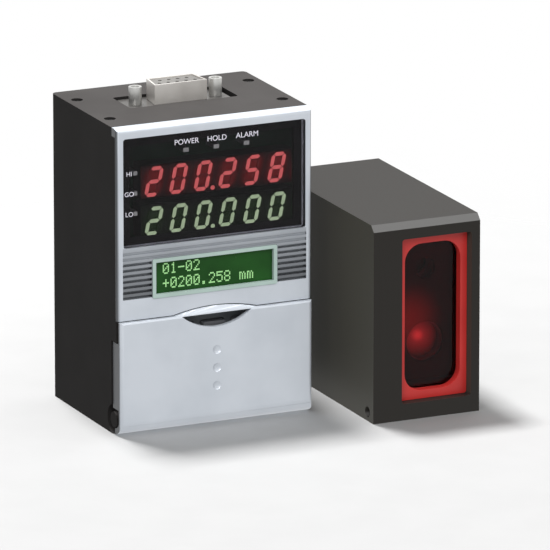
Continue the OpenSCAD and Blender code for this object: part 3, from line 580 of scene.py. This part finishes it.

# The head is a die casting in black paint with a lid on its right side, and it stands by itself.
# Painted light makes the paint lighter and browner on its sides, and a painted highlight lies along the
# chamfer over the window.
# A black moulded gland closes the cable entry at its back.
SIDE_COAT_PAINTED_LIGHT = (0.0555, 0.0532, 0.0435)
FRONT_COAT = (0.0213, 0.0195, 0.0174)
CHAMFER_PAINTED_HIGHLIGHT = (0.087, 0.0855, 0.0833)
FRONT_COAT_LEVELS = (0.6, 0.8)
CHAMFER_DIRECTION = (0, -math.sqrt(0.5), math.sqrt(0.5))
head_paint = textured("head paint", roughness=0.45, grain_mm=0.35, depth_mm=0.02, specular=0.11)
head_nodes = head_paint.node_tree.nodes
head_links = head_paint.node_tree.links
head_shape = head_nodes.new("ShaderNodeNewGeometry")
towards_chamfer = head_nodes.new("ShaderNodeVectorMath")
towards_chamfer.operation = "DOT_PRODUCT"
towards_chamfer.inputs[1].default_value = CHAMFER_DIRECTION
head_links.new(head_shape.outputs["Normal"], towards_chamfer.inputs[0])
# Painted light: the sides are lighter than the front and top, and the chamfer carries a painted highlight.
coat_and_painted_light = through_colours(head_paint, towards_chamfer.outputs["Value"],
                       (0, SIDE_COAT_PAINTED_LIGHT), (FRONT_COAT_LEVELS[0], FRONT_COAT),
                       (FRONT_COAT_LEVELS[1], FRONT_COAT), (1, CHAMFER_PAINTED_HIGHLIGHT))
head_links.new(coat_and_painted_light, head_nodes["Principled BSDF"].inputs["Base Color"])
gland_black = grained("gland black", (0.021, 0.021, 0.0225), (0.03, 0.03, 0.0315),
                      roughness=0.5, grain_mm=0.3, depth_mm=0.01)
finish(head_paint, "head_case", "head_side_cover")
finish(gland_black, "cable_gland")
softened(0.5, "head_case")
softened(0.3, "head_side_cover", "cable_gland")

# The optics stand on a bare metal base in the head: the laser diode in its gilt can behind a small lens,
# and the receiver lens in a second barrel. A black mask in front leaves both lenses open.
# A painted red glow lies on the receiver lens and on the mask beside it, with a painted glint on the lens.
MASK_PAINTED_GLOW_RISE = 7 * MM
PAINTED_GLINT_OFFSET = 1.5 * MM


def distance_from(material, centre):
    """How far a point of the piece lies from a place, in metres."""
    nodes = material.node_tree.nodes
    place = nodes.new("ShaderNodeTexCoord")
    offset = nodes.new("ShaderNodeVectorMath")
    offset.operation = "DISTANCE"
    offset.inputs[1].default_value = centre
    material.node_tree.links.new(place.outputs["Object"], offset.inputs[0])
    return offset.outputs["Value"]


def painted_red_glow_near(name, body, roughness, colour, centre, *zones):
    """Surface with a painted red glow near one place. A zone is a strength and its reach in mm."""
    material, shader = plain_material(name)
    shader.inputs["Base Color"].default_value = (*body, 1)
    shader.inputs["Roughness"].default_value = roughness
    shader.inputs["Emission Color"].default_value = (*colour, 1)
    distance = distance_from(material, centre)
    glow = 0
    for strength, reach_mm in zones:
        fade = mapped(material, distance, 0, reach_mm * MM, strength, 0, "SMOOTHSTEP")
        glow = maths(material, "ADD", glow, fade)
    material.node_tree.links.new(glow, shader.inputs["Emission Strength"])
    return material


bare_metal = grained("bare metal", (0.36, 0.36, 0.38), (0.45, 0.45, 0.47),
                     roughness=0.35, grain_mm=0.3, depth_mm=0.006, metallic=0.8)
can_gold = grained("can gold", (0.55, 0.4, 0.15), (0.65, 0.5, 0.2),
                   roughness=0.3, grain_mm=0.2, depth_mm=0.004, metallic=0.9)
lens_low, lens_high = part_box("receiver_lens")
lens_middle = [(low + high) / 2 for low, high in zip(lens_low, lens_high)]
mask_painted_glow_place = (lens_low[0], lens_low[1], lens_middle[2] + MASK_PAINTED_GLOW_RISE)
painted_glint_place = (lens_middle[0] - PAINTED_GLINT_OFFSET, lens_low[1], lens_middle[2] + PAINTED_GLINT_OFFSET)
# Painted red glow on the mask; on the lens a painted glow with a painted glint.
mask_black = painted_red_glow_near("mask black", (0.004, 0.004, 0.005), 0.5, (1.0, 0.1, 0.1),
                          mask_painted_glow_place, (0.24, 12))
lens_red = painted_red_glow_near("lens red", (0.2, 0.02, 0.02), 0.12, (1.0, 0.25, 0.25),
                        painted_glint_place, (0.4, 8), (0.7, 2.4))
collimator_dark = grained("collimator dark", (0.015, 0.012, 0.0135), (0.024, 0.018, 0.0195),
                          roughness=0.1, grain_mm=0.5, depth_mm=0.001)
finish(bare_metal, "optical_base", "emitter_barrel", "receiver_barrel")
finish(can_gold, "laser_diode")
finish(mask_black, "aperture_mask")
finish(lens_red, "receiver_lens")
finish(collimator_dark, "collimator_lens")

# The red frame is a moulded ring at the bottom of the window recess.
# It lies over a red filter glass that closes the head in front of the optics.
frame_red = grained("frame red", (0.48, 0.0263, 0.0232), (0.562, 0.0353, 0.0315),
                    roughness=0.33, grain_mm=0.25, depth_mm=0.006, specular=0.35)
filter_glass = polished("filter glass", (0.36, 0.05, 0.06), (0.42, 0.07, 0.08), cloud_scale=80)
finish(frame_red, "window_frame")
finish(filter_glass, "front_glass")
softened(0.4, "window_frame")

# A plain matt floor carries both units and fades out into the white backdrop around them.
# It belongs to the stage and takes no part in reflections or bounced light.
FLOOR_REACH = 3.0
FLOOR_FADE = (0.1, 0.3)
floor_mesh = bpy.data.meshes.new("floor")
floor_corners = [(-FLOOR_REACH, -FLOOR_REACH, 0), (FLOOR_REACH, -FLOOR_REACH, 0),
                 (FLOOR_REACH, FLOOR_REACH, 0), (-FLOOR_REACH, FLOOR_REACH, 0)]
floor_mesh.from_pydata(floor_corners, [], [(0, 1, 2, 3)])
floor = bpy.data.objects.new("floor", floor_mesh)
bpy.context.scene.collection.objects.link(floor)
floor_white = grained("floor white", (0.675, 0.675, 0.675), (0.69, 0.69, 0.69),
                      roughness=0.9, grain_mm=4.0, depth_mm=0.01, specular=0.0)
floor_mesh.materials.append(floor_white)
from_middle = distance_from(floor_white, (0, 0, 0))
floor_cover = mapped(floor_white, from_middle, *FLOOR_FADE, 1, 0, "SMOOTHSTEP")
floor_white.node_tree.links.new(floor_cover, floor_white.node_tree.nodes["Principled BSDF"].inputs["Alpha"])
floor.visible_diffuse = False
floor.visible_glossy = False

# The studio is pale all round, dark at the rear left, which leaves the left sides of both units dark,
# and brighter from below. The camera, gloss and clear plates see plain white instead.
REAR_LEFT = (-1.15, -0.45)
REAR_LEFT_LIGHT = (0.053, 0.533)
FROM_BELOW = (-0.9, -0.1)
FROM_BELOW_GAIN = (2.0, 1.0)
world = bpy.data.worlds.new("studio")
bpy.context.scene.world = world
world.use_nodes = True
world_nodes = world.node_tree.nodes
world_links = world.node_tree.links
backdrop = world_nodes["Background"]
backdrop.inputs["Color"].default_value = (1, 1, 1, 1)
direction = world_nodes.new("ShaderNodeTexCoord")
axes = world_nodes.new("ShaderNodeSeparateXYZ")
world_links.new(direction.outputs["Generated"], axes.inputs["Vector"])
away_from_rear_left = maths(world, "SUBTRACT", axes.outputs["X"], axes.outputs["Y"])
side_light = mapped(world, away_from_rear_left, *REAR_LEFT, *REAR_LEFT_LIGHT)
below_gain = mapped(world, axes.outputs["Z"], *FROM_BELOW, *FROM_BELOW_GAIN)
studio_light = maths(world, "MULTIPLY", side_light, below_gain)
rays = world_nodes.new("ShaderNodeLightPath")
for ray in ("Is Camera Ray", "Is Glossy Ray", "Is Transmission Ray"):
    studio_light = maths(world, "MAXIMUM", studio_light, rays.outputs[ray])
world_links.new(studio_light, backdrop.inputs["Strength"])

# Three square soft lamps light the units: one at the upper left front, one high at the right for the
# upper edges, and one overhead that throws the shadow to the right and towards the viewer.
# Of the three only the overhead lamp lights the floor.
AIM = (0.02, -0.02, 0.04)
off_floor = bpy.data.collections.new("units without the floor")
off_floor.objects.link(floor)
off_floor.collection_objects[0].light_linking.link_state = "EXCLUDE"


def soft_lamp(title, place, size, watts, on_floor):
    """A square soft lamp at a place, turned towards the units. It may be kept off the floor."""
    lamp = bpy.data.lights.new(title, "AREA")
    lamp.size = size
    lamp.energy = watts
    holder = bpy.data.objects.new(title, lamp)
    holder.location = place
    holder.rotation_euler = (Vector(AIM) - Vector(place)).to_track_quat("-Z", "Y").to_euler()
    bpy.context.scene.collection.objects.link(holder)
    if not on_floor:
        holder.light_linking.receiver_collection = off_floor


soft_lamp("front lamp", (-0.5, -0.8, 0.75), size=0.5, watts=7.1, on_floor=False)
soft_lamp("right lamp", (0.35, -0.25, 0.95), size=0.6, watts=6.7, on_floor=False)
soft_lamp("overhead lamp", (-0.07, 0.3, 1.1), size=0.2, watts=13.3, on_floor=True)

# The camera looks from the left front and a little above, through a long lens, as the photograph does.
# Its place and lens were fitted to the edges of both units.
CAMERA_AZIMUTH = math.radians(-24.6)
CAMERA_RISE = math.radians(15.65)
CAMERA_DISTANCE = 2.5
CAMERA_TARGET = Vector((0.01873, -0.0232, 0.04203))
FOCAL_PIXELS = 8781.4
FRAME_PIXELS = 550
SENSOR_WIDTH = 36
FARTHEST_SEEN = 20
camera_data = bpy.data.cameras.new("camera")
camera_data.sensor_width = SENSOR_WIDTH
camera_data.lens = SENSOR_WIDTH * FOCAL_PIXELS / FRAME_PIXELS
camera_data.clip_end = FARTHEST_SEEN
camera = bpy.data.objects.new("camera", camera_data)
towards = Vector((math.sin(CAMERA_AZIMUTH) * math.cos(CAMERA_RISE),
                  -math.cos(CAMERA_AZIMUTH) * math.cos(CAMERA_RISE), math.sin(CAMERA_RISE)))
camera.location = CAMERA_TARGET + towards * CAMERA_DISTANCE
camera.rotation_euler = (-towards).to_track_quat("-Z", "Y").to_euler()
bpy.context.scene.collection.objects.link(camera)
bpy.context.scene.camera = camera
bpy.context.scene.view_settings.view_transform = "Standard"
